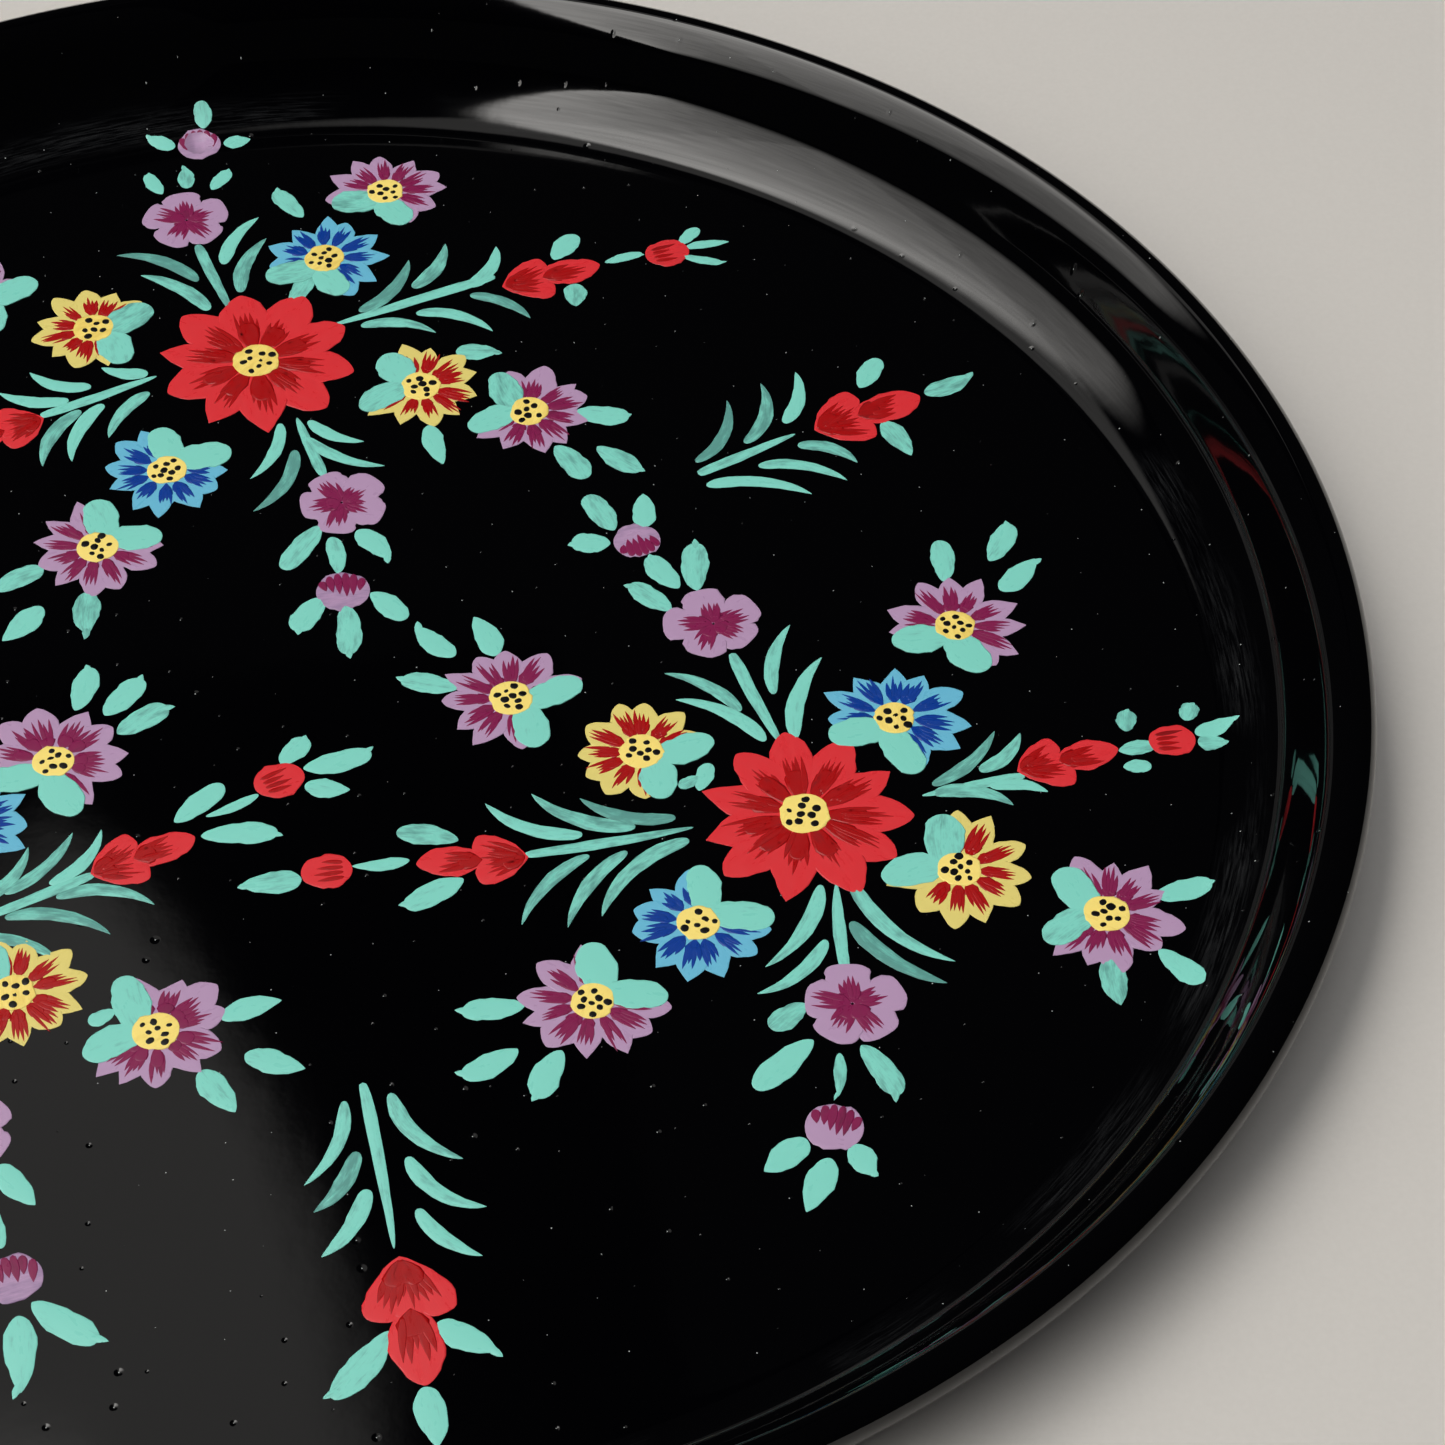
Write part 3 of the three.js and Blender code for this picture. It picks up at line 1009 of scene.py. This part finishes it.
# The medallion to the viewer's left.
LEFT_MEDALLION: tuple[Motif, ...] = (
    Spray((-90.9, -49.2, -106.9, -55), ((-93.6, -50.7, -101.6, -63.7), (-100, -53.5, -106, -63.2),
        (-93.9, -49.7, -106.8, -46.4), (-101.6, -52, -111.2, -49.1))),
    *leaves((-115.5, -63.4, -117.2, -70.4), (-119.5, -55.3, -125.4, -51), (-130, -64.4, -134.7, -66.2),
        (-128.4, -66, -129.5, -71.7), (-130.5, -60.4, -135, -56.7), width=3.4),
    Leaf((-121.5, -60.3, -124.8, -61.5), 2.2),
    Spray((-57.5, -38, -36, -30), ((-50, -32, -39, -21), (-43, -31, -34.5, -21), (-56, -34, -46, -23),
        (-42, -34, -27, -37.5), (-50, -37, -34, -42.5), (-56, -41, -42, -47))),
    Spray((-77, -29, -80, -10), ((-82, -21, -94, -12), (-81, -28, -92, -18), (-77, -17, -70, -5),
        (-75, -25, -68.5, -11))),
    Spray((-68, -57, -60, -71), ((-72, -60, -78, -72), (-70, -66, -77, -79), (-65, -59, -54, -66),
        (-66, -63, -54, -73))),
    *leaves((-23, -21, -15, -14), (-19, -24.5, -7, -25.5), (-5.5, -11, -1, -6), (-2, -12.5, 9, -10.5),
        (-2, -16, 5, -18), width=4.2),
    Leaf((-18, -20.5, -9.5, -17), 1.8),
    *leaves((-48, -109, -39, -117), (-50, -111, -50, -124), (-54, -108, -60, -115), (-62, -86, -68, -93),
        (-52, -84, -47, -92)),
    Leaf((-54, -88, -52, -99), 3.2),
    *leaves((-34, -57.5, -38, -59.5), (-55, -59, -58, -53), width=2.4),
    *leaves((-86, 3, -90, 11), (-80, 5, -80, 12), (-76, 3, -72, 9), (-85, 17, -90, 20),
        (-79.5, 22, -79.5, 29), (-76, 17, -71, 17.5), width=3.2),
    RedFlower((-74, -43), 11, -2),
    Daisy(Hue.YELLOW, (-49, -52), 158, radius=11), Daisy(Hue.YELLOW, (-102, -30.5), -22, radius=10.5),
    Daisy(Hue.BLUE, (-57, -17), -122, radius=11.5), Daisy(Hue.BLUE, (-91, -68.5), 54, radius=11),
    Daisy(Hue.LILAC, (-41.5, -5.5), -115, ((72, 21), (47, 22), (27, 21)), radius=12),
    Daisy(Hue.LILAC, (-28, -62.5), 157, ((10, 19.5), (-25, 24), (-57, 20)), radius=11.5),
    Daisy(Hue.LILAC, (-101, -83), 50, ((-155, 16), (-128, 17), (-97, 16.5)), radius=11),
    Daisy(Hue.LILAC, (-123, -19.5), -30, ((127, 21), (102, 19.5), (159, 18.5)), radius=11),
    Blossom((-84, -3.5), 20, 7.5), Blossom((-57, -78), 40, 7.5),
    LilacBud((-80.5, 17.5), 95), LilacBud((-50.5, -104.5), 100, 4.2),
    Tulip((-36.5, -30, -20, -24.5)), Tulip((-106, -54.6, -121, -60.1)),
    RedBud((-6, -14.5), 20, 3.6), RedBud((-127.6, -62.5), 200, 3.1),
)

# The sprigs between the medallions, each a tulip on a feathered stem.
SPRIGS: tuple[Motif, ...] = (
    Spray((70, 45.5, 88, 53), ((70, 48.5, 77.5, 63), (79, 52, 84, 66.5), (86.5, 56, 90.5, 68.5),
        (71, 42.5, 88.5, 38), (80.5, 46, 95, 40.5), (88, 50, 97.5, 44.5)), True),
    *leaves((101, 63, 105.5, 70), (103.5, 54, 107, 45), (112, 60, 121, 63.5)),
    Tulip((91.5, 53.5, 111, 59.5)),
    Spray((2, -76.5, 4, -107), ((-1, -79.5, -8, -94), (0, -89, -7, -99), (1, -96, -6.5, -107),
        (6, -79, 15.5, -92.5), (7.5, -91, 18, -101.5), (8, -100.5, 16.5, -110)), True),
    *leaves((2, -121, -7, -131), (9, -120.5, 17, -126.5), (6, -131, 7, -141)),
    Tulip((4.6, -108.5, 6.4, -130.8)),
    Spray((-71, 41, -94, 54), ((-69, 46, -80, 57), (-77, 50, -87, 62), (-85, 54, -93, 65),
        (-74, 38, -88, 37), (-82, 43, -97, 42), (-89, 48, -101, 48)), True),
    *leaves((-106, 65, -110, 73), (-109, 56, -118, 53), (-115, 66, -124, 70)),
    Tulip((-96, 55, -114, 65)),
)


# ---- the painting


@dataclass
class Painting:
    """Every mark on the tray's floor, gathered by pot and raised into one piece for each."""

    floor_height: float = 0.8
    floor_radius: float = 145
    cove_radius: float = 15
    sunk: float = 0.03             # how far the paint's underside bites into the lacquer
    seed: int = 17
    stagger: float = 0.004         # height that parts one mark from the next over it
    stagger_round: int = 5         # marks until that height starts again
    edge_sway: float = 0.055       # how much an edge wanders, as a share of the mark's width
    edge_waves: tuple[tuple[float, float], ...] = ((1.3, 1.0), (2.9, 0.7), (5.6, 0.45))   # turns, share
    least_swell: float = 0.035     # half width of a mark's ends, as a share of its greatest
    shades: tuple[Paint, ...] = (Paint.CRIMSON, Paint.MAGENTA, Paint.NAVY, Paint.BLACK)   # thin marks

    def paint(self) -> Hand:
        """Paints the whole layout and returns the hand with its marks."""
        hand = Hand(self.seed)
        for motif in (*RIGHT_MEDALLION, *BACK_MEDALLION, *LEFT_ARM, *LEFT_MEDALLION, *SPRIGS):
            motif.paint(hand)
        return hand

    def raise_marks(
        self, name: str, marks: list[Mark], grain: Grain, dice: np.random.Generator,
    ) -> bpy.types.Object:
        """Raises marks into closed bodies, all at once.

        A mark's middle line turns evenly: at a share t of its length L it lies L t sinc(bt/2) along
        the heading h + bt/2, for first heading h and whole turn b. Its half width goes as
        t to one power times (1 - t) to another, scaled to peak at half its width, and each edge
        wanders by its own slow waves. Over the crown the height is the edge's plus the crown's times
        (1 - s squared), for a share s from the middle line to the edge; two points under the edges
        close the body.

        Args:
            name: the piece's name.
            marks: the marks, in the order they were laid.
            grain: how finely to cut them.
            dice: random numbers for the edges.

        Returns:
            The new piece.
        """
        count, along, across = len(marks), grain.along, len(grain.across)
        tail = np.array([m.tail for m in marks])
        chord = np.array([m.point for m in marks]) - tail
        bend = np.radians([m.bend for m in marks])
        span = np.hypot(chord[:, 0], chord[:, 1])
        length = span / np.sinc(bend / math.tau)
        first = np.arctan2(chord[:, 1], chord[:, 0]) - bend / 2
        rise, fall = np.array([m.touch.value for m in marks]).T[:, :, None]
        half = np.array([m.width for m in marks])[:, None] / 2
        edge, crown = np.array([m.layer.value for m in marks]).T
        edge = edge + self.stagger * (np.arange(count) % self.stagger_round)

        t = (1 - np.cos(np.linspace(0, math.pi, along))) / 2
        turned = bend[:, None] * t / 2
        heading = first[:, None] + turned
        reach = length[:, None] * t * np.sinc(turned / math.pi)
        middle = tail[:, None] + reach[..., None] * np.stack([np.cos(heading), np.sin(heading)], -1)
        heading = heading + turned
        left = np.stack([-np.sin(heading), np.cos(heading)], -1)

        peak = rise / (rise + fall)
        swell = t ** rise * (1 - t) ** fall / (peak ** rise * (1 - peak) ** fall)
        swell = np.maximum(swell, self.least_swell)
        turns, size = np.array(self.edge_waves).T[:, :, None]
        phase = dice.uniform(0, math.tau, (count, 2, len(turns), 1))
        sway = 1 + self.edge_sway * (size * np.sin(turns * math.tau * t + phase)).sum(2)
        widths = half[:, None] * swell[:, None] * sway

        s = np.array(grain.across)
        wide = np.where(s[:, None, None] > 0, widths[None, :, 0], widths[None, :, 1])
        offset = np.moveaxis(s[:, None, None] * wide, 0, -1)
        flat = middle[:, :, None] + offset[..., None] * left[:, :, None]
        height = edge[:, None, None] + crown[:, None, None] * (1 - s ** 2) * swell[..., None] ** 0.5
        top = np.concatenate([flat, (self.floor_height + height)[..., None]], -1)
        low = top[:, :, [-1, 0]].copy()
        low[..., 2] = self.floor_height - self.sunk
        points = np.concatenate([top, low], 2)
        # Past the flat floor the marks climb the cove, an arc that starts level.
        past = np.maximum(np.hypot(points[..., 0], points[..., 1]) - self.floor_radius, 0)
        points[..., 2] += self.cove_radius - np.sqrt(self.cove_radius ** 2 - past ** 2)

        ring = across + 2
        start = np.arange(count)[:, None] * along * ring
        quads = start[..., None] + grid_faces(along, ring, True)
        first_ring = start + np.arange(ring)
        last_ring = (first_ring + (along - 1) * ring)[:, ::-1]
        faces = quads.reshape(-1, 4).tolist() + first_ring.tolist() + last_ring.tolist()
        piece = make_piece(name, points.reshape(-1, 3), faces)

        # The bristle map runs in millimetres along and across a mark, from its own place in the pattern.
        place = dice.uniform(0, 500, (count, 1, 1, 2))
        run = np.broadcast_to((length[:, None] * t)[..., None], offset.shape)
        bristle = np.stack([run, offset], -1) + place
        bristle = np.concatenate([bristle, bristle[:, :, [-1, 0]]], 2)
        add_uv(piece.data, "bristle", bristle.reshape(-1, 2))
        load = piece.data.attributes.new("load", "FLOAT", "POINT")
        full = np.repeat([m.load for m in marks], along * ring)
        load.data.foreach_set("value", full.astype(np.float32))
        return piece

    def build(self) -> list[bpy.types.Object]:
        """Makes and dresses one piece for each pot of paint.

        Returns:
            The pieces.
        """
        hand = self.paint()
        pieces = []
        for number, paint in enumerate(Paint):
            dice = np.random.default_rng(self.seed + 1 + number)
            grain = FINE if paint in self.shades else BROAD
            piece = self.raise_marks(f"{paint.name.lower()}_paint", hand.marks[paint], grain, dice)
            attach(piece, BODY)
            piece.data.materials.append(paint.value.material())
            pieces.append(piece)
        return pieces


# ---- the studio


@dataclass
class Studio:
    """A pale paper floor, a lit silk to the left, soft lights overhead and the camera."""

    floor_half: float = 3000
    floor_drop: float = 0.3        # how far it lies under the tray
    floor_lines: int = 9
    eye: tuple[float, float, float] = (0.0, -443.7, 480.9)
    target: tuple[float, float, float] = (65.8, -12.0, 0.8)
    roll: float = 0.48             # degrees
    lens: float = 100.0
    world: str = "#161616"
    daylight: str = "#FBFCFF"
    silk_radius: float = 4000
    silk_p: tuple[float, float, int] = (-3.4, 0.1, 60)     # from, to, and points between
    silk_q: tuple[float, float, int] = (-3.0, 0.95, 50)
    softboxes: tuple[tuple[str, tuple[float, float, float], float, float], ...] = (
        ("fill_light", (100, -200, 1500), 1800, 1.0),      # name, centre, width and radiance
        ("ceiling_light", (0, 0, 3000), 7000, 0.25),
    )

    def build_floor(self) -> bpy.types.Object:
        """Lays the paper just under the tray, as a grid of points."""
        line = np.linspace(-self.floor_half, self.floor_half, self.floor_lines)
        y, x = np.meshgrid(line, line)
        points = np.stack([x, y, np.full_like(x, -self.floor_drop)], -1).reshape(-1, 3)
        faces = grid_faces(self.floor_lines, self.floor_lines, False).tolist()
        floor = make_piece("backdrop_floor", points, faces)
        floor.data.materials.append(BackdropPaper().material())
        return floor

    def hang_silk(self) -> bpy.types.Object:
        """Hangs a great curved silk to the left of the tray, lit from behind.

        It is part of a dome about the tray. With p and q for how far a sight line from the tray runs
        along X and Y for each metre that it climbs, a point of the silk is the dome's radius times
        (p, q, 1) made a unit vector.

        Returns:
            The silk, which lights the tray and shows in its gloss but not to the camera.
        """
        p, q = np.meshgrid(np.linspace(*self.silk_p), np.linspace(*self.silk_q))
        sight = np.stack([p, q, np.ones_like(p)], -1)
        points = self.silk_radius * sight / np.linalg.norm(sight, axis=-1, keepdims=True)
        silk = make_piece("lit_silk", points.reshape(-1, 3), grid_faces(*p.shape, False).tolist())
        silk.data.materials.append(LitSilk().material())
        silk.visible_camera = False
        return silk

    def light(self) -> None:
        """Hangs the silk, and two level round softboxes that hang too far off for the gloss to show them,
        and sets the dim surroundings. A softbox's power is its radiance times pi and its area."""
        self.hang_silk()
        for name, centre, width, radiance in self.softboxes:
            data = bpy.data.lights.new(name, "AREA")
            data.shape = "DISK"
            data.size = width * MM
            data.energy = radiance * math.pi * math.pi * (data.size / 2) ** 2
            data.color = linear(self.daylight)[:3]
            lamp = bpy.data.objects.new(name, data)
            lamp.location = Vector(centre) * MM
            lamp.visible_glossy = False
            bpy.context.scene.collection.objects.link(lamp)
        world = bpy.data.worlds.new("dim_room")
        world.use_nodes = True
        world.node_tree.nodes.clear()
        glow = add_node(world.node_tree, "Background", {"Color": linear(self.world)})
        add_node(world.node_tree, "OutputWorld", {0: glow})
        bpy.context.scene.world = world
        bpy.context.scene.view_settings.view_transform = "Standard"

    def place_camera(self) -> bpy.types.Object:
        """Sets the camera at the eye, aimed at the target and rolled about its line of sight."""
        data = bpy.data.cameras.new("camera")
        data.lens, data.sensor_width, data.sensor_fit = self.lens, 36.0, "HORIZONTAL"
        data.clip_start = 0.02
        camera = bpy.data.objects.new("camera", data)
        sight = Vector(self.target) - Vector(self.eye)
        turn = sight.to_track_quat("-Z", "Y").to_matrix().to_4x4()
        tip = Matrix.Rotation(math.radians(self.roll), 4, "Z")
        camera.matrix_world = Matrix.Translation(Vector(self.eye) * MM) @ turn @ tip
        bpy.context.scene.collection.objects.link(camera)
        bpy.context.scene.camera = camera
        return camera


def report(piece: bpy.types.Object) -> None:
    """Logs a piece's name and how many triangles it has."""
    triangles = sum(len(polygon.vertices) - 2 for polygon in piece.data.polygons)
    log.info("%s: %d triangles", piece.name, triangles)


def main() -> None:
    """Builds the studio, the pan and the painting, and dresses the rim wire."""
    logging.basicConfig(level=logging.INFO, format="%(name)s: %(message)s")
    studio = Studio()
    studio.place_camera()
    studio.build_floor()
    studio.light()
    report(Pan().build())
    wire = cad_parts["rim_wire"]
    steel = DrawnWire().material()
    for material_slot in wire.material_slots:
        material_slot.material = steel
    report(wire)
    for piece in Painting().build():
        report(piece)


if __name__ == "__main__":
    main()
